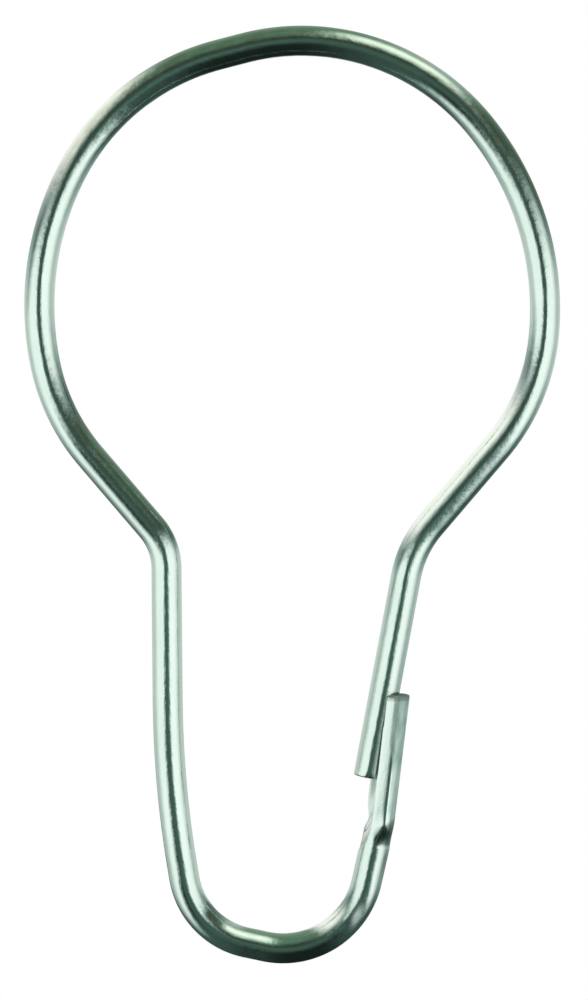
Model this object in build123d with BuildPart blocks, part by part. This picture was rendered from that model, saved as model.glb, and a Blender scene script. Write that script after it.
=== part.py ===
from build123d import *
import math
import os

# Shower curtain ring bent from one length of round wire.
# Millimetres, +Z up, the front faces -Y. The ring hangs on a rod that runs
# along Y, and the middle of the rod eye is the origin.

# Wire
wire_diameter = 2.35

# Rod eye, the wide upper loop. Both sides use the same three bend radii.
crown_radius = 17.9
side_radius = 22.7
flank_radius = 16.0
crown_height = 19.9  # middle of the eye up to the wire's centre at the top
crown_shift = 0.76  # the top of the crown lies a little right of the middle
eye_angle = 130.5  # turn of each side from the top of the crown to the neck
crown_right_angle = 50.9
crown_left_angle = 62.8
flank_right_angle = 36.2
flank_left_angle = 28.7
crown_flat = 2.1  # short straight in the crown's left half
crown_flat_angle = 14.6  # turn from the top of the crown to that straight

# Neck, where both sides run inward and bend down into the legs
neck_run_right = 7.83
neck_run_left = 7.34
neck_bend_right = 8.55
neck_bend_left = 4.9

# Legs. Angles are the lean from upright. The free leg is the right one.
free_leg_angle = 10.6
free_leg_length = 15.95
left_leg_angle = 0.5
left_leg_length = 17.25  # neck bend down to the corner of the slight knee
foot_angle = 10.1  # lean of the left leg below the knee
knee_share = 0.98  # part of the foot above the hook that the knee's bend takes

# Hook that carries the curtain, lower on the right
hook_right_radius = 6.7
hook_slope_angle = 12.0
hook_left_share = 0.73  # part of the hook's bottom that the left bend takes
rise_angle = 12.7
rise_length = 2.8  # straight wire from the hook up to the catch

# Catch, the pressed end of the wire that clips round the free leg
catch_angle = 6.9
catch_roll_angle = 10.0  # the mouth turns a little to the front
catch_overlap = 6.55  # how far the free leg's tip reaches into the catch
catch_length = 9.5
flare_length = 2.32  # round wire to full catch section
stub_length = 1.5  # plain wire below the flare that the groove may still touch
catch_width = 3.5  # widest part of the pressed oval, from front to back
catch_web = 0.75  # metal left behind the groove
web_depth = 1.0  # from the catch's outer side in to its widest part
lip_depth = 1.93  # half depth of the oval that the lips follow
web_shift = 0.28  # the widest part lies this far outside the wire's own middle
lip_angle = 123.0  # where the lips stop on the oval
mouth_bulge = 0.05
groove_clearance = 0.075
groove_length = 7.6
runout_radius = 4.0
runout_angle = 27.0
runout_length = 5.0
relief_radius = 1.04  # rounded notch where the lips stop and the groove runs out
relief_depth = 0.51  # from the round wire's side into the notch
relief_drop = 9.45  # below the top of the catch

# Softened cut edges
tip_chamfer = 0.18
catch_chamfer = 0.1

wire_radius = wire_diameter / 2
groove_radius = wire_radius + groove_clearance
oval_offset = groove_radius + catch_web - web_depth - web_shift


def lean_up(angle):
    """Direction up the ring, leaning to the right by the angle."""
    return Vector(math.sin(math.radians(angle)), 0, math.cos(math.radians(angle)))


def lean_across(angle):
    """Direction to the right, square to lean_up."""
    return Vector(math.cos(math.radians(angle)), 0, -math.sin(math.radians(angle)))


def catch_section(centre, angle):
    """Plane across the catch: X from the mouth to the web, Z up the catch."""
    level = lean_across(angle) * math.cos(math.radians(catch_roll_angle))
    back = Vector(0, math.sin(math.radians(catch_roll_angle)), 0)
    return Plane(centre, x_dir=level + back, z_dir=lean_up(angle))


def crossing(point_a, along_a, point_b, along_b):
    """Point in the ring's own plane where two lines cross."""
    gap = point_b - point_a
    across = along_a.X * along_b.Z - along_a.Z * along_b.X
    reach = (gap.X * along_b.Z - gap.Z * along_b.X) / across
    return point_a + along_a * reach


def bend_radius(reach, before, after):
    """Radius of a bend that starts this far from its corner."""
    return reach / math.tan(math.radians(before.get_angle(after) / 2))


# Right side, from the top of the crown down to the free tip
with BuildLine(Plane.XZ) as right_side:
    crown_right = JernArc((crown_shift, crown_height), (1, 0), crown_radius, -crown_right_angle)
    side_right_angle = eye_angle - crown_right_angle - flank_right_angle
    side_right = JernArc(crown_right @ 1, crown_right % 1, side_radius, -side_right_angle)
    flank_right = JernArc(side_right @ 1, side_right % 1, flank_radius, -flank_right_angle)
    run_right = Line(flank_right @ 1, flank_right @ 1 + flank_right % 1 * neck_run_right)
    neck_right_angle = (run_right % 1).get_angle(-lean_up(free_leg_angle))
    neck_right = JernArc(run_right @ 1, run_right % 1, neck_bend_right, neck_right_angle)
    free_leg = Line(neck_right @ 1, neck_right @ 1 + neck_right % 1 * free_leg_length)

# The catch is set out from the free leg, so that the leg always lies in it
catch_top = free_leg @ 1 + lean_up(free_leg_angle) * catch_overlap
catch_plane = catch_section(catch_top, catch_angle)
oval_start = catch_plane.from_local_coords(Vector(oval_offset, 0, -catch_length))
flare_foot = catch_plane.from_local_coords(Vector(oval_offset, 0, -catch_length - flare_length))
catch_foot = Vector(flare_foot.X, 0, flare_foot.Z)

# Left side, from the top of the crown to the neck
with BuildLine(Plane.XZ) as left_side:
    crown_left = JernArc(crown_right @ 0, (-1, 0), crown_radius, crown_flat_angle)
    flat_left = Line(crown_left @ 1, crown_left @ 1 + crown_left % 1 * crown_flat)
    crown_rest_angle = crown_left_angle - crown_flat_angle
    shoulder_left = JernArc(flat_left @ 1, flat_left % 1, crown_radius, crown_rest_angle)
    side_left_angle = eye_angle - crown_left_angle - flank_left_angle
    side_left = JernArc(shoulder_left @ 1, shoulder_left % 1, side_radius, side_left_angle)
    flank_left = JernArc(side_left @ 1, side_left % 1, flank_radius, flank_left_angle)
    run_left = Line(flank_left @ 1, flank_left @ 1 + flank_left % 1 * neck_run_left)
    neck_left_angle = (run_left % 1).get_angle(-lean_up(-left_leg_angle))
    neck_left = JernArc(run_left @ 1, run_left % 1, neck_bend_left, -neck_left_angle)

# Hook and left leg: down from the catch, round the hook and up to the neck
foot_up = lean_up(-foot_angle)
leg_up = lean_up(-left_leg_angle)
hook_along = -lean_across(hook_slope_angle)
knee_corner = neck_left @ 1 - leg_up * left_leg_length
with BuildLine(Plane.XZ) as hook:
    rise_start = catch_foot - lean_up(rise_angle) * stub_length
    rise = Line(rise_start, catch_foot - lean_up(rise_angle) * rise_length)
    hook_right_angle = (rise % 1).get_angle(hook_along)
    hook_right = JernArc(rise @ 1, rise % 1, hook_right_radius, -hook_right_angle)
    hook_corner = crossing(hook_right @ 1, hook_along, knee_corner, foot_up)
    hook_reach = hook_left_share * (hook_corner - hook_right @ 1).length
    knee_reach = knee_share * ((knee_corner - hook_corner).length - hook_reach)
    hook_left_radius = bend_radius(hook_reach, hook_along, foot_up)
    knee_radius = bend_radius(knee_reach, foot_up, leg_up)
    FilletPolyline(
        hook_right @ 1,
        hook_corner,
        knee_corner,
        neck_left @ 1,
        radius=(hook_left_radius, knee_radius),
    )

# Path of the groove: down the catch, then out through the mouth
groove_plane = Plane(catch_top, x_dir=catch_plane.x_dir, z_dir=-catch_plane.y_dir)
with BuildLine(groove_plane) as groove_path:
    groove_run = Line((0, wire_diameter), (0, -groove_length))
    groove_bend = JernArc(groove_run @ 1, groove_run % 1, runout_radius, -runout_angle)
    Line(groove_bend @ 1, groove_bend @ 1 + groove_bend % 1 * runout_length)

with BuildPart() as wire_ring:
    # Flare from the round wire to the pressed oval, eased at both ends
    for step in range(4):
        part_way = step / 3
        press = part_way * part_way * (3 - 2 * part_way)
        flare_centre = catch_foot + (oval_start - catch_foot) * part_way
        flare_angle = rise_angle + (catch_angle - rise_angle) * part_way
        web_half = wire_radius + (web_depth - wire_radius) * press
        lip_half = wire_radius + (lip_depth - wire_radius) * press
        half_width = wire_radius + (catch_width / 2 - wire_radius) * press
        middle = (web_shift * press, 0)
        lip_x = web_shift * press + lip_half * math.cos(math.radians(lip_angle))
        lip_y = half_width * math.sin(math.radians(lip_angle))
        mouth_x = -wire_radius + (lip_x - mouth_bulge + wire_radius) * press
        lip_turn = lip_angle - 90
        with BuildSketch(catch_section(flare_centre, flare_angle)):
            with BuildLine():
                EllipticalCenterArc(middle, web_half, half_width, -90, arc_size=180)
                EllipticalCenterArc(middle, lip_half, half_width, 90, arc_size=lip_turn)
                ThreePointArc((lip_x, lip_y), (mouth_x, 0), (lip_x, -lip_y))
                EllipticalCenterArc(middle, lip_half, half_width, -lip_angle, arc_size=lip_turn)
            make_face()
    loft()
    extrude(wire_ring.faces().sort_by(Axis.Z)[0], amount=stub_length)
    # Straight part of the catch, cut off level at the top
    extrude(wire_ring.faces().sort_by(Axis.Z)[-1], amount=catch_length + wire_diameter)
    split(bisect_by=Plane.XY.offset(catch_top.Z), keep=Keep.BOTTOM)
    outer_rim = wire_ring.faces().sort_by(Axis.Z)[-1].edges().sort_by(Axis.X)[1:]
    chamfer(outer_rim, catch_chamfer)
    # Groove for the free leg
    with BuildSketch(Plane(groove_run @ 0, z_dir=groove_run % 0)):
        Circle(groove_radius)
    sweep(path=groove_path.line, mode=Mode.SUBTRACT)
    # Notch at the foot of the lips
    relief = catch_plane.from_local_coords(Vector(oval_offset, 0, -relief_drop))
    relief_x = relief.X - wire_radius + relief_depth - relief_radius
    with BuildSketch(Plane.XZ):
        with Locations((relief_x, relief.Z)):
            Circle(relief_radius)
    extrude(amount=catch_width, both=True, mode=Mode.SUBTRACT)
    # Round wire from the free tip over the crown to the catch
    ring_path = Wire(right_side.edges() + left_side.edges() + hook.edges())
    with BuildSketch(Plane(free_leg @ 1, z_dir=free_leg % 1)):
        Circle(wire_radius)
    sweep(path=ring_path)
    tip_edge = wire_ring.edges().filter_by(GeomType.CIRCLE).sort_by_distance(free_leg @ 1)[0]
    chamfer(tip_edge, tip_chamfer)

wire_ring.part.label = "wire_ring"
os.makedirs("parts", exist_ok=True)
export_step(wire_ring.part, "parts/wire_ring.step")
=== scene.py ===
import math
from collections import namedtuple

import bpy
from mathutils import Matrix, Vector


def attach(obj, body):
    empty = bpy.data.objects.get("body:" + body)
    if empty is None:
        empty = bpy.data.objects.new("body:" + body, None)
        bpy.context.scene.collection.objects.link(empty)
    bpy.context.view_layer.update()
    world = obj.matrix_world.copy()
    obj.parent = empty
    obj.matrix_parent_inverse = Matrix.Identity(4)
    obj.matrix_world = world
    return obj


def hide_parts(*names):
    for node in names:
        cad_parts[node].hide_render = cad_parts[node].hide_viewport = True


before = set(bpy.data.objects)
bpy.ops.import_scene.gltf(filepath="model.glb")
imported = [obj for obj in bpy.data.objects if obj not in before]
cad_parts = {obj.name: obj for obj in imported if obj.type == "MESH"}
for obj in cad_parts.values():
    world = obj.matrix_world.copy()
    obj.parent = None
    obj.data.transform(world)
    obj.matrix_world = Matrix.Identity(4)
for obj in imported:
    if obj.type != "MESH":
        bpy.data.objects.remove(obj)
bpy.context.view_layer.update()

# The ring's own sizes in millimetres, as in the CAD source. Only the catch's
# section is drawn finer here: straight lips and a tighter front edge.

# Wire
wire_radius = 1.175

# Rod eye, the wide upper loop
crown_radius = 17.9
side_radius = 22.7
flank_radius = 16.0
crown_height = 19.9
crown_shift = 0.76
eye_angle = 130.5
crown_right_angle = 50.9
crown_left_angle = 62.8
flank_right_angle = 36.2
flank_left_angle = 28.7
crown_flat = 2.1
crown_flat_angle = 14.6

# Neck
neck_run_right = 7.83
neck_run_left = 7.34
neck_bend_right = 8.55
neck_bend_left = 4.9

# Legs
free_leg_angle = 10.6
free_leg_length = 15.95
left_leg_angle = 0.5
left_leg_length = 17.25
foot_angle = 10.1
knee_share = 0.98

# Hook
hook_right_radius = 6.7
hook_slope_angle = 12.0
hook_left_share = 0.73
rise_angle = 12.7
rise_length = 2.8

# Catch
catch_angle = 6.9
catch_roll_angle = 10.0
catch_overlap = 6.55
catch_length = 9.5
flare_length = 2.32
catch_width = 3.5
catch_web = 0.75
web_depth = 1.08
web_shift = 0.20
lip_length = 0.97  # from the widest part to the edge of the lips
lip_slope = 0.47  # how fast the lips draw together
lip_bend = 0.14  # softness of the bend from the web into the lips
lip_angle = 123.0
front_lip_gain = 0.2  # the front lip grows this much longer up the catch
mouth_bulge = 0.05
groove_clearance = 0.075
groove_length = 7.6
groove_reach = 2.0  # plain wire below the flare that the groove may touch
runout_radius = 4.0
runout_angle = 27.0
relief_radius = 1.04
relief_depth = 0.51
relief_drop = 9.45
relief_reach = 2.0  # rows beyond the flare's ends that are rounded with the notch
groove_radius = wire_radius + groove_clearance
oval_offset = groove_radius + catch_web - web_depth - web_shift

# Softened cut edges
tip_softness = 0.18
tip_cap_inset = 0.03  # share of the radius
rim_softness = 0.15
rim_cap_inset = 0.02

# Marks of the bending tool on the hook's front
grip_mark = Vector((5.05, 0, -48.2))
grip_heading = 67
grip_depth = 0.03

# Fineness of the mesh: points round the wire, and steps along it
web_points = 96
mouth_points = 48
run_step = 0.6  # longest step on a straight run, in millimetres
bend_step = 1.5  # widest step round a bend, in degrees
tip_steps = 6
flare_steps = 40
straight_steps = 60
rim_steps = 4
corner_rounds = 5
notch_rounds = 24


def sin(angle):
    return math.sin(math.radians(angle))


def cos(angle):
    return math.cos(math.radians(angle))


def smooth(low, high, value):
    share = min(1.0, max(0.0, (value - low) / (high - low)))
    return share * share * (3 - 2 * share)


def window(value, start, full, fade, end):
    """1 between full and fade, softly down to 0 at start and end."""
    return smooth(start, full, value) * (1 - smooth(fade, end, value))


def direction(heading):
    """Unit direction in the ring's plane: 0 to the right, 90 up."""
    return Vector((cos(heading), 0, sin(heading)))


def go_straight(trail, length):
    point, heading = trail[-1]
    count = max(1, math.ceil(length / run_step))
    for step in range(1, count + 1):
        trail.append((point + direction(heading) * length * step / count, heading))


def bend(trail, radius, turn):
    """Turn by an angle, to the left where it is positive."""
    point, heading = trail[-1]
    inward = direction(heading + 90) * math.copysign(radius, turn)
    count = max(3, math.ceil(abs(turn) / bend_step))
    for step in range(1, count + 1):
        new_heading = heading + turn * step / count
        outward = direction(new_heading - 90) * math.copysign(radius, turn)
        trail.append((point + inward + outward, new_heading))


def reverse(trail):
    return [(point, heading + 180) for point, heading in reversed(trail)]


def crossing(point_a, heading_a, point_b, heading_b):
    """Point where two lines in the ring's plane cross."""
    along_a, along_b = direction(heading_a), direction(heading_b)
    gap = point_b - point_a
    across = along_a.x * along_b.z - along_a.z * along_b.x
    return point_a + along_a * (gap.x * along_b.z - gap.z * along_b.x) / across


def section_axes(heading):
    """Axes of a section: from the mouth to the web, and across it to the back."""
    level = direction(heading - 90)
    back = Vector((0, 1, 0))
    to_web = level * cos(catch_roll_angle) + back * sin(catch_roll_angle)
    to_back = back * cos(catch_roll_angle) - level * sin(catch_roll_angle)
    return to_web, to_back


# Centre line, from the free tip over the crown and round the hook to the catch
crown_top = Vector((crown_shift, 0, crown_height))
right_side = [(crown_top, 0)]
bend(right_side, crown_radius, -crown_right_angle)
bend(right_side, side_radius, crown_right_angle + flank_right_angle - eye_angle)
bend(right_side, flank_radius, -flank_right_angle)
go_straight(right_side, neck_run_right)
bend(right_side, neck_bend_right, eye_angle - 90 - free_leg_angle)
go_straight(right_side, free_leg_length)
free_tip = right_side[-1][0]

catch_heading = 90 - catch_angle
rise_heading = 90 - rise_angle
catch_top = free_tip + direction(90 - free_leg_angle) * catch_overlap
catch_up = direction(catch_heading)
catch_to_web, catch_to_back = section_axes(catch_heading)
oval_middle = catch_top + catch_to_web * oval_offset
oval_start = oval_middle - catch_up * catch_length
catch_foot = oval_middle - catch_up * (catch_length + flare_length)
catch_foot.y = 0

left_side = [(crown_top, 180)]
bend(left_side, crown_radius, crown_flat_angle)
go_straight(left_side, crown_flat)
bend(left_side, crown_radius, crown_left_angle - crown_flat_angle)
bend(left_side, side_radius, eye_angle - crown_left_angle - flank_left_angle)
bend(left_side, flank_radius, flank_left_angle)
go_straight(left_side, neck_run_left)
bend(left_side, neck_bend_left, 90 + left_leg_angle - eye_angle)

rise = [(catch_foot, rise_heading + 180)]
go_straight(rise, rise_length)
bend(rise, hook_right_radius, rise_angle - hook_slope_angle - 90)
hook_right_end = rise[-1][0]
knee_corner = left_side[-1][0] + direction(270 + left_leg_angle) * left_leg_length
hook_corner = crossing(hook_right_end, 180 - hook_slope_angle, knee_corner, 90 + foot_angle)
hook_span = (hook_corner - hook_right_end).length
hook_reach = hook_left_share * hook_span
foot_span = (knee_corner - hook_corner).length - hook_reach
knee_reach = knee_share * foot_span
hook_turn = 90 - hook_slope_angle - foot_angle
knee_turn = foot_angle - left_leg_angle
go_straight(left_side, left_leg_length - knee_reach)
bend(left_side, knee_reach / math.tan(math.radians(knee_turn / 2)), knee_turn)
go_straight(left_side, foot_span - knee_reach)
bend(left_side, hook_reach / math.tan(math.radians(hook_turn / 2)), hook_turn)
go_straight(left_side, hook_span - hook_reach)

centre_line = reverse(right_side) + left_side[1:] + reverse(rise)[1:]


def groove_floor(across, up):
    """How far the groove reaches towards the web, or None beside the groove."""
    if abs(across) >= groove_radius:
        return None
    below = -groove_length - up
    bent = runout_radius * sin(runout_angle)
    if below <= 0:
        middle, slope = 0.0, 0.0
    elif below < bent:
        slope = math.degrees(math.asin(below / runout_radius))
        middle = -runout_radius * (1 - cos(slope))
    else:
        slope = runout_angle
        middle = -runout_radius * (1 - cos(slope)) - (below - bent) * math.tan(math.radians(slope))
    return middle + math.sqrt(groove_radius**2 - across**2) / cos(slope)


relief = oval_middle - catch_up * relief_drop
relief_x = relief.x - wire_radius + relief_depth - relief_radius


def cut(point, mouth_side):
    """Move a point of the blank to the groove's floor or the notch's side."""
    from_top = point - catch_top
    across, up = from_top.dot(catch_to_back), from_top.dot(catch_up)
    to_web = from_top.dot(catch_to_web)
    floor = groove_floor(across, up) if mouth_side else None
    if floor is not None and floor > to_web:
        point = point + catch_to_web * (floor - to_web)
    drop = point.z - relief.z
    if abs(drop) < relief_radius:
        side = relief_x + math.sqrt(relief_radius**2 - drop**2)
        if point.x < side:
            point = Vector((side, point.y, point.z))
    return point


def pressed_point(angle, front_reach):
    """Point of the pressed section: a flat oval at the web, and straight lips."""
    turn = angle if angle <= 180 else angle - 360
    side = math.copysign(1.0, turn)
    if abs(turn) <= 90:
        return web_shift + web_depth * cos(turn), catch_width / 2 * sin(turn)
    lip_run = lip_length + (front_reach if turn < 0 else 0.0)
    if abs(turn) <= lip_angle:
        run = lip_run * ((abs(turn) - 90) / (lip_angle - 90)) ** 1.5
    else:
        run = lip_run + mouth_bulge * (1 - (sin(turn) / sin(lip_angle)) ** 2)
    drop = lip_slope * (math.hypot(min(run, lip_run), lip_bend) - lip_bend)
    across = (catch_width / 2 - drop) * min(1.0, abs(sin(turn)) / sin(lip_angle))
    return web_shift - run, side * across


# Angles of the points round the wire: 0 at the web, 180 in the mouth
web_angles = [lip_angle * (2 * i / (web_points - 1) - 1) for i in range(web_points)]
mouth_turn = 360 - 2 * lip_angle
mouth_angles = [lip_angle + mouth_turn * (i + 1) / (mouth_points + 1) for i in range(mouth_points)]
ring_angles = web_angles + mouth_angles


def blank_ring(centre, heading, presses, front_reach=0.0):
    """Outline of the wire, each point pressed by its own share."""
    to_web, to_back = section_axes(heading)
    ring = []
    for angle, press in zip(ring_angles, presses):
        flat_x, flat_y = pressed_point(angle, front_reach)
        x = wire_radius * cos(angle) * (1 - press) + flat_x * press
        y = wire_radius * sin(angle) * (1 - press) + flat_y * press
        ring.append(centre + to_web * x + to_back * y)
    return ring


def plain_ring(centre, heading, size=1.0):
    ring = blank_ring(centre, heading, [0.0] * len(ring_angles))
    return [centre + (point - centre) * size for point in ring]


def cut_ring(ring):
    return [cut(point, step >= web_points) for step, point in enumerate(ring)]


def soften(ring, times):
    """Round the corners of an outline a little."""
    for _ in range(times):
        after = ring[1:] + ring[:1]
        ring = [(ring[i - 1] + ring[i] * 2 + after[i]) / 4 for i in range(len(ring))]
    return ring


def inset(ring, up, inward, lift):
    """Outline moved inward by a distance, and lifted along a direction."""
    moved = []
    for i, point in enumerate(ring):
        run = ring[(i + 1) % len(ring)] - ring[i - 1]
        moved.append(point + up.cross(run).normalized() * inward + up * lift)
    return moved


def press_share(angle, place):
    """How far the wire is pressed at a height above the flare's foot.

    The press ended on a slant, lower at the mouth and higher at the web, and it
    eased out slowly on the front lip.
    """
    slant = 1 + cos(angle)
    on_web = smooth(0.05, 0.40, cos(angle))
    quick_end = 1.37 + 0.60 * slant - 0.35 * on_web
    quick = smooth(0.10 * slant, quick_end, place)
    slow = smooth(0.0, 3.6, place)
    on_front_lip = (1 - smooth(-0.75, -0.02, cos(angle))) * smooth(-0.2, 0.2, -sin(angle))
    return quick + (slow - quick) * on_front_lip


# Rows of the wire's mesh from the free tip to the catch's top. Each is its
# outline, its place along the wire, how far it is pressed, and whether it
# belongs to a cut end.
Row = namedtuple("Row", "ring place press end")
rows = []

# Free tip with its softened edge
tip_heading = 90 - free_leg_angle
tip_up = direction(tip_heading)
for step in range(tip_steps + 1):
    turn = 90 - 90 * step / tip_steps
    size = 1 - tip_softness * (1 - cos(turn)) / wire_radius
    centre = free_tip + tip_up * tip_softness * (1 - sin(turn))
    if step == 0:
        rows.append(Row(plain_ring(centre, tip_heading, size - tip_cap_inset), 0.0, 0.0, 1.0))
    rows.append(Row(plain_ring(centre, tip_heading, size), tip_softness * step / tip_steps, 0.0, 0.0))

# Plain wire, up to where the groove may touch it
flare_start = 0.0
last_point = free_tip
for point, heading in centre_line:
    flare_start += (point - last_point).length
    last_point = point
    if flare_start < tip_softness + 0.05:
        continue
    ring = plain_ring(point, heading)
    if flare_start > free_leg_length and (point - catch_foot).length < groove_reach:
        ring = cut_ring(ring)
    rows.append(Row(ring, flare_start, 0.0, 0.0))

# Flare from the round wire to the pressed oval
for step in range(1, flare_steps + 1):
    part_way = step / flare_steps
    flare_height = flare_length * part_way
    centre = catch_foot + (oval_start - catch_foot) * part_way
    centre.y = oval_start.y * smooth(0, 0.5, part_way)
    heading = rise_heading + (catch_heading - rise_heading) * part_way
    presses = [press_share(angle, flare_height) for angle in ring_angles]
    ring = cut_ring(blank_ring(centre, heading, presses))
    ring = soften(ring, round(corner_rounds * part_way))
    rows.append(Row(ring, flare_start + flare_height, part_way, 0.0))

# Straight part of the catch, cut off level at the top
catch_start = flare_start + flare_length
for step in range(1, straight_steps + 1):
    part_way = step / straight_steps
    height = flare_length + catch_length * part_way
    presses = [press_share(angle, height) for angle in ring_angles]
    blank = blank_ring(oval_start, catch_heading, presses, front_lip_gain * part_way)
    ring = []
    for point in blank:
        reach = (catch_top.z - point.z) / catch_up.z - rim_softness
        ring.append(point + catch_up * reach * part_way)
    catch_place = catch_start + catch_length * part_way
    rows.append(Row(soften(cut_ring(ring), corner_rounds), catch_place, 1.0, 0.0))

# Softened rim at the top of the catch
rim = rows[-1].ring
catch_end = rows[-1].place
for step in range(1, rim_steps + 1):
    turn = 90 * step / rim_steps
    ring = inset(rim, catch_up, rim_softness * (1 - cos(turn)), rim_softness * sin(turn))
    rows.append(Row(ring, catch_end, 1.0, 0.0))
cap_ring = inset(rim, catch_up, rim_softness + rim_cap_inset, rim_softness)
rows.append(Row(cap_ring, catch_end, 1.0, 1.0))


def smooth_notch(times):
    """Round the notch lengthwise, from row to row."""
    first = next(i for i, row in enumerate(rows) if row.place > flare_start - relief_reach)
    last = next(i for i, row in enumerate(rows) if row.place > catch_start + relief_reach)
    rings = [row.ring for row in rows]
    for _ in range(times):
        for i in range(first, last):
            for j, point in enumerate(rings[i]):
                mean = (rings[i - 1][j] + point * 2 + rings[i + 1][j]) / 4
                on_mouth = 1 - smooth(-0.7, 0.1, cos(ring_angles[j]))
                near_notch = 1 - smooth(1.2, 2.2, abs(point.z - relief.z))
                rings[i][j] = point.lerp(mean, on_mouth * near_notch)


smooth_notch(notch_rounds)


def patch(point, centre, heading, half_length, half_width):
    """1 in the middle of an oval patch on the wire's front, fading to 0 round it."""
    if point.y > 0:
        return 0.0
    gap = point - centre
    along, across = gap.dot(direction(heading)), gap.dot(direction(heading - 90))
    return math.exp(-((along / half_length) ** 2) - (across / half_width) ** 2)


def dent(centre, heading, half_length, half_width):
    """Flatten the front of the wire where a bending tool gripped it."""
    for row in rows:
        middle = sum(row.ring, Vector()) / len(row.ring)
        if (middle - centre).length > 4 * half_length:
            continue
        for i, point in enumerate(row.ring):
            share = patch(point, centre, heading, half_length, half_width)
            row.ring[i] = point + (middle - point).normalized() * grip_depth * share


dent(grip_mark, grip_heading, half_length=0.90, half_width=0.35)
dent(Vector((4.35, 0, -49.0)), 40, half_length=0.50, half_width=0.40)
dent(Vector((-6.6, 0, -47.6)), 300, half_length=0.70, half_width=0.50)


def matte_share(angle, place):
    """The catch's outer side is matte, and further round to the lips higher up."""
    height = min(1.0, max(0.0, (place - catch_start) / catch_length))
    edge = 0.10 - 0.34 * smooth(0.35, 0.65, height)
    share = smooth(0.0, 0.08, height) * smooth(edge - 0.06, edge + 0.06, cos(angle))
    return share * (0.6 + 0.4 * smooth(0.25, 0.60, height))


def dark_and_shade_share(angle, place):
    """Where the wire is darkened: painted shade where the free leg lies in the catch, and darker
    bands round the flare and at the catch's top edge.
    """
    web_side = cos(angle)
    slant = 1 + web_side
    flare_place = place - flare_start
    # Painted shade on the free leg, on the side that lies in the catch
    share = 0.88 * smooth(-0.3, 0.1, web_side) * (1 - smooth(6.0, 7.0, place))
    # A slanted band across the flare, mostly on the front
    band = window(flare_place, 0.1, 0.5, 0.9 + 0.7 * slant, 1.2 + 0.85 * slant)
    band *= 1.2 - 0.8 * smooth(-0.2, 0.4, sin(angle))
    band_edge = 0.06 * flare_place - 0.26
    share += band * smooth(band_edge, band_edge + 0.26, web_side)
    # The outer side just below the flare
    below_flare = window(flare_place, -2.6, -0.8, -0.2, 0.4)
    share += 0.65 * below_flare * smooth(0.50, 0.75, web_side)
    # The catch's top edge
    share += 0.7 * smooth(catch_length - 0.35, catch_length - 0.1, place - catch_start)
    return share


def dull_and_shade_share(angle, point):
    """The crown is dulled, and darkened with painted shade mostly in a band, which runs further out
    on the left.
    """
    further_in = smooth(-2.0, 6.0, point.x)
    full = 0.05 - 0.10 * further_in
    fade = 0.35 - 0.30 * further_in
    end = 0.75 - 0.40 * further_in
    band = window(cos(angle), -0.25, full, fade, end)
    return smooth(3.0, 13.0, point.z) * (0.12 + 0.88 * band)


def build_mesh():
    count = web_points + mouth_points
    points = [point * 0.001 for row in rows for point in row.ring]
    faces = [tuple(reversed(range(count)))]
    for step in range(len(rows) - 1):
        first = step * count
        for i in range(count):
            j = (i + 1) % count
            faces.append((first + i, first + j, first + count + j, first + count + i))
    top = (len(rows) - 1) * count
    faces.append(tuple(range(top, top + count)))
    mesh = bpy.data.meshes.new("ring_wire")
    mesh.from_pydata(points, [], faces)
    mesh.attributes.new("wire_place", "FLOAT_VECTOR", "POINT")
    mesh.attributes.new("wire_wear_and_shade", "FLOAT_COLOR", "POINT")
    mesh.attributes.new("wire_form", "FLOAT_COLOR", "POINT")
    place = mesh.attributes["wire_place"].data
    wear_and_shade = mesh.attributes["wire_wear_and_shade"].data
    form = mesh.attributes["wire_form"].data
    for step, row in enumerate(rows):
        for i, (point, angle) in enumerate(zip(row.ring, ring_angles)):
            grip = patch(point, grip_mark, grip_heading, half_length=0.80, half_width=0.28)
            matte = max(matte_share(angle, row.place), 0.9 * grip)
            dark_and_shade = dark_and_shade_share(angle, row.place)
            in_groove = smooth(0.3, 1.0, row.press) if i >= web_points else 0.0
            frost = max(0.45 * grip, in_groove)
            dull_and_shade = dull_and_shade_share(angle, point)
            index = step * count + i
            place[index].vector = (wire_radius * cos(angle), wire_radius * sin(angle), row.place)
            wear_and_shade[index].color = (matte, dark_and_shade, row.end, 1)
            form[index].color = (row.press, frost, dull_and_shade, 1)
    mesh.shade_smooth()
    mesh.set_sharp_from_angle(angle=math.radians(40))
    return mesh


wire = bpy.data.objects.new("ring_wire", build_mesh())
bpy.context.collection.objects.link(wire)

# Colours of the plating
plating_dim = (0.72, 0.82, 0.76, 1)
plating_bright = (0.79, 0.89, 0.83, 1)
# Painted shade that darkens the crown in a band
crown_painted_shade = (0.46, 0.48, 0.36, 1)
matte_dim = (0.44, 0.66, 0.585, 1)
matte_bright = (0.90, 1.0, 0.94, 1)
# Painted shade where the free leg lies in the catch, and darkening round the flare and at the catch's
# top edge
dark_and_shade_colour = (0.22, 0.28, 0.235, 1)
cut_end_dark = (0.30, 0.34, 0.31, 1)


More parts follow.
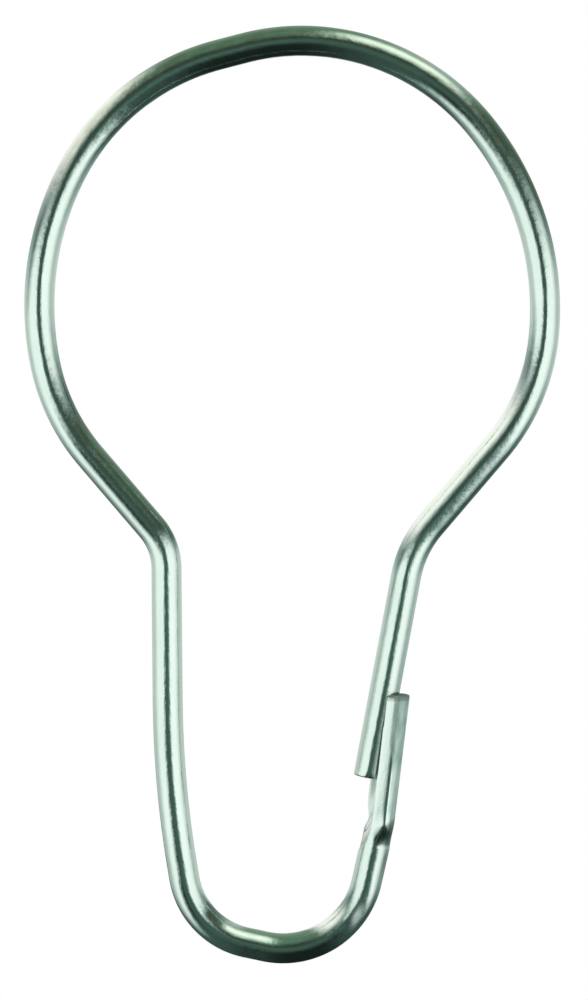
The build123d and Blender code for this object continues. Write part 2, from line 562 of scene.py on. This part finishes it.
def plated_wire():
    """Bright plated wire, with the wear, the painted shade and the form that the mesh carries."""
    material = bpy.data.materials.new("plated_wire")
    material.use_nodes = True
    nodes, links = material.node_tree.nodes, material.node_tree.links
    shader = nodes["Principled BSDF"]

    def attribute(name):
        node = nodes.new("ShaderNodeAttribute")
        node.attribute_name = name
        return node

    def shares(name):
        """The three shares that a colour attribute of the mesh carries."""
        split = nodes.new("ShaderNodeSeparateColor")
        links.new(attribute(name).outputs["Color"], split.inputs["Color"])
        return split.outputs["Red"], split.outputs["Green"], split.outputs["Blue"]

    place = attribute("wire_place")
    matte, dark_and_shade, cut_end = shares("wire_wear_and_shade")
    pressed, frost, dull_and_shade = shares("wire_form")

    def noise(scale, detail):
        """Noise on the wire: across it twice, then along it, per millimetre."""
        stretch = nodes.new("ShaderNodeVectorMath")
        stretch.operation = "MULTIPLY"
        stretch.inputs[1].default_value = scale
        texture = nodes.new("ShaderNodeTexNoise")
        texture.inputs["Scale"].default_value = 1.0
        texture.inputs["Detail"].default_value = detail
        links.new(place.outputs["Vector"], stretch.inputs[0])
        links.new(stretch.outputs["Vector"], texture.inputs["Vector"])
        return texture.outputs["Fac"]

    def spread(value, low, high):
        """Noise stretched over a range."""
        remap = nodes.new("ShaderNodeMapRange")
        remap.inputs["From Min"].default_value = 0.3
        remap.inputs["From Max"].default_value = 0.7
        remap.inputs["To Min"].default_value = low
        remap.inputs["To Max"].default_value = high
        links.new(value, remap.inputs["Value"])
        return remap.outputs["Result"]

    def feed(socket, value):
        if isinstance(value, (float, tuple)):
            socket.default_value = value
        else:
            links.new(value, socket)

    def combine(operation, a, b):
        node = nodes.new("ShaderNodeMath")
        node.operation = operation
        feed(node.inputs[0], a)
        feed(node.inputs[1], b)
        return node.outputs["Value"]

    def add(value, share, amount):
        """The value, with an amount added by its share."""
        return combine("ADD", value, combine("MULTIPLY", share, amount))

    def blend(factor, a, b):
        node = nodes.new("ShaderNodeMix")
        node.data_type = "RGBA"
        feed(node.inputs["Factor"], factor)
        feed(node.inputs["A"], a)
        feed(node.inputs["B"], b)
        return node.outputs["Result"]

    streaks = noise((7.0, 7.0, 0.45), 3)
    mottle = noise((2.2, 2.2, 1.1), 3)
    grain = noise((9.0, 9.0, 7.0), 2)
    patches = noise((0.5, 0.5, 0.2), 3)
    shade_blotches = noise((1.6, 1.6, 0.8), 3)
    smears = noise((3.2, 3.2, 0.8), 3)

    colour = blend(spread(patches, 0.0, 1.0), plating_dim, plating_bright)
    # Painted shade on the crown, in blotches
    colour = blend(combine("MULTIPLY", dull_and_shade, spread(shade_blotches, 0.2, 0.8)), colour, crown_painted_shade)
    matte_colour = blend(spread(smears, 0.0, 1.0), matte_dim, matte_bright)
    colour = blend(combine("MULTIPLY", matte, 0.9), colour, matte_colour)
    # Painted shade where the free leg lies in the catch, and darker bands round the flare
    colour = blend(combine("MULTIPLY", dark_and_shade, 0.75), colour, dark_and_shade_colour)
    colour = blend(combine("MULTIPLY", cut_end, 0.8), colour, cut_end_dark)
    links.new(colour, shader.inputs["Base Color"])

    metallic = combine("SUBTRACT", 1.0, combine("MULTIPLY", frost, 0.75))
    links.new(metallic, shader.inputs["Metallic"])

    rough = spread(grain, 0.09, 0.15)
    rough = add(rough, matte, spread(streaks, 0.40, 0.56))
    rough = add(rough, dark_and_shade, 0.15)
    rough = add(rough, cut_end, 0.3)
    rough = add(rough, dull_and_shade, 0.06)
    links.new(rough, shader.inputs["Roughness"])

    waves = combine("SUBTRACT", 2.2, combine("MULTIPLY", pressed, 1.9))
    waves = add(waves, dull_and_shade, 1.2)
    height = add(combine("MULTIPLY", streaks, 0.6), mottle, waves)
    height = add(height, grain, 0.3)
    bump = nodes.new("ShaderNodeBump")
    bump.inputs["Strength"].default_value = 1.0
    bump.inputs["Distance"].default_value = 0.000008
    links.new(height, bump.inputs["Height"])
    links.new(bump.outputs["Normal"], shader.inputs["Normal"])
    return material


wire.data.materials.append(plated_wire())
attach(wire, "root")
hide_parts("wire_ring")

# Light of the studio tent, by its parts
tent_shade = Vector((0.010, 0.017, 0.015))
front_light = Vector((0.052, 0.086, 0.066))
right_light = Vector((1.08, 1.12, 1.10))
right_wall_light = Vector((0.52, 0.56, 0.54))
left_light = Vector((1.00, 1.06, 1.03))
left_wall_light = Vector((0.54, 0.58, 0.56))
upper_left_light = Vector((1.06, 0.99, 0.97))
lamp_light = Vector((1.00, 1.03, 0.94))
lamp_rim_light = Vector((0.24, 0.21, 0.22))
top_light = Vector((0.136, 0.20, 0.127))
top_warmth = Vector((0.035, 0, 0.012))
rim_light = Vector((0.12, 0.12, 0.115))
low_left_light = Vector((0.04, 0.07, 0.06))
low_right_light = Vector((0.03, 0.055, 0.048))
back_light = Vector((0.9, 0.9, 0.9))


def tent_colour(towards):
    """Light of the tent in a direction: white sides, dim top, dark front and foot.

    A direction is given by its angle off the axis to the front, and round that
    axis from the right, 0, over the top, 90.
    """
    x, z = towards.x, towards.z
    up, down = max(z, 0.0), max(-z, 0.0)
    off_axis = math.degrees(math.acos(max(-1.0, min(1.0, -towards.y))))
    round_axis = math.degrees(math.atan2(z, x)) % 360
    above_right = (round_axis + 180) % 360 - 180

    front = (1 - smooth(6, 40, off_axis)) * (1 - 2 * min(up, 0.5))
    colour = tent_shade + front_light * front

    right = smooth(-0.14, 0.14, x - 0.23 - 0.85 * down) * (1 - smooth(11, 37, above_right))
    right_back = smooth(54, 104, off_axis)
    right_wall = right * window(above_right, -40, -4, 4, 30) * right_back
    colour += right_light * (right * (1 - right_back)) + right_wall_light * right_wall

    left_edge = 0.28 + 0.33 * smooth(0, 0.35, down)
    left = smooth(-0.14, 0.16, -x - left_edge) * smooth(148, 168, round_axis)
    left_wall = left * window(round_axis, 150, 176, 178, 252) * smooth(66, 116, off_axis)
    left *= 1 - smooth(66 - 90 * up, 116 - 90 * up, off_axis)
    colour += left_light * left + left_wall_light * left_wall

    narrow = 6 * (1 - smooth(50, 92, off_axis))
    upper_left = window(round_axis, 114 + narrow, 131 + narrow, 142, 166 - narrow)
    upper_left *= smooth(14, 66, off_axis) * (1 - 0.12 * smooth(90, 130, off_axis))
    colour += upper_left_light * upper_left

    lamp = window(round_axis, 46, 58, 76, 87) * window(off_axis, 15, 60, 64, 106)
    lamp_rim = window(round_axis, 44, 54, 60, 78) * smooth(68, 108, off_axis)
    colour += lamp_light * lamp + lamp_rim_light * lamp_rim

    top = window(round_axis, 5, 70, 105, 160) * smooth(11, 57, off_axis)
    top *= 1 - 0.45 * window(round_axis, 20, 36, 50, 62) * window(off_axis, 36, 54, 66, 84)
    colour += (top_light + top_warmth * smooth(75, 115, off_axis)) * top

    rim = smooth(92, 140, off_axis) * (1 - smooth(0.2, 0.7, down))
    low_left = window(round_axis, 222, 236, 242, 272) * smooth(0, 30, off_axis)
    low_right = window(round_axis, 288, 306, 322, 345)
    colour += rim_light * rim + low_left_light * low_left + low_right_light * low_right

    # The dim parts are a little greener
    colour.x *= 1 - 0.18 * window(colour.y, 0.06, 0.14, 0.35, 0.75)
    colour = colour.lerp(back_light, smooth(156, 170, off_axis))
    return (*colour, 1)


def build_tent(radius, columns, levels):
    """Round tent that only shows in reflections."""
    points, faces = [], []
    for level in range(levels + 1):
        lift = 180 * level / levels - 90
        for column in range(columns):
            turn = 360 * column / columns
            points.append(Vector((cos(lift) * cos(turn), cos(lift) * sin(turn), sin(lift))))
    for level in range(levels):
        first, above = level * columns, (level + 1) * columns
        for column in range(columns):
            beside = (column + 1) % columns
            faces.append((first + column, first + beside, above + beside, above + column))
    mesh = bpy.data.meshes.new("light_tent")
    mesh.from_pydata([point * radius for point in points], [], faces)
    glow = mesh.attributes.new("tent_glow", "FLOAT_COLOR", "POINT")
    for point, item in zip(points, glow.data):
        item.color = tent_colour(point)
    mesh.shade_smooth()

    material = bpy.data.materials.new("light_tent")
    material.use_nodes = True
    nodes, links = material.node_tree.nodes, material.node_tree.links
    nodes.clear()
    colour = nodes.new("ShaderNodeAttribute")
    colour.attribute_name = "tent_glow"
    light = nodes.new("ShaderNodeEmission")
    output = nodes.new("ShaderNodeOutputMaterial")
    links.new(colour.outputs["Color"], light.inputs["Color"])
    links.new(light.outputs["Emission"], output.inputs["Surface"])
    mesh.materials.append(material)

    tent = bpy.data.objects.new("light_tent", mesh)
    bpy.context.collection.objects.link(tent)
    tent.visible_camera = False
    tent.visible_diffuse = False
    tent.visible_shadow = False


def build_floor(half_width, drop):
    """Plain pale floor, far below the hanging ring."""
    corners = [(-half_width, -half_width, -drop), (half_width, -half_width, -drop)]
    corners += [(half_width, half_width, -drop), (-half_width, half_width, -drop)]
    mesh = bpy.data.meshes.new("floor")
    mesh.from_pydata(corners, [], [(0, 1, 2, 3)])
    material = bpy.data.materials.new("floor")
    material.use_nodes = True
    shader = material.node_tree.nodes["Principled BSDF"]
    shader.inputs["Base Color"].default_value = (1, 1, 1, 1)
    shader.inputs["Roughness"].default_value = 0.8
    mesh.materials.append(material)
    floor = bpy.data.objects.new("floor", mesh)
    bpy.context.collection.objects.link(floor)


def build_world():
    """Even white light all round."""
    world = bpy.data.worlds.new("studio")
    world.use_nodes = True
    background = world.node_tree.nodes["Background"]
    background.inputs["Color"].default_value = (1, 1, 1, 1)
    background.inputs["Strength"].default_value = 1.0
    return world


build_tent(0.9, 144, 72)
build_floor(2, 1)
scene = bpy.context.scene
scene.view_settings.view_transform = "Standard"
scene.world = build_world()

# Camera square to the ring, at the photograph's framing
sensor_size = 36.0
camera_distance = 0.215
framed_height = 0.078
framed_middle_x = 0.000156
framed_middle_z = -0.015912
camera_data = bpy.data.cameras.new("camera")
camera_data.sensor_width = sensor_size
camera_data.lens = sensor_size * camera_distance / framed_height
camera_data.clip_start = 0.01
camera = bpy.data.objects.new("camera", camera_data)
camera.location = (framed_middle_x, -camera_distance, framed_middle_z)
camera.rotation_euler = (math.radians(90), 0, 0)
bpy.context.collection.objects.link(camera)
scene.camera = camera
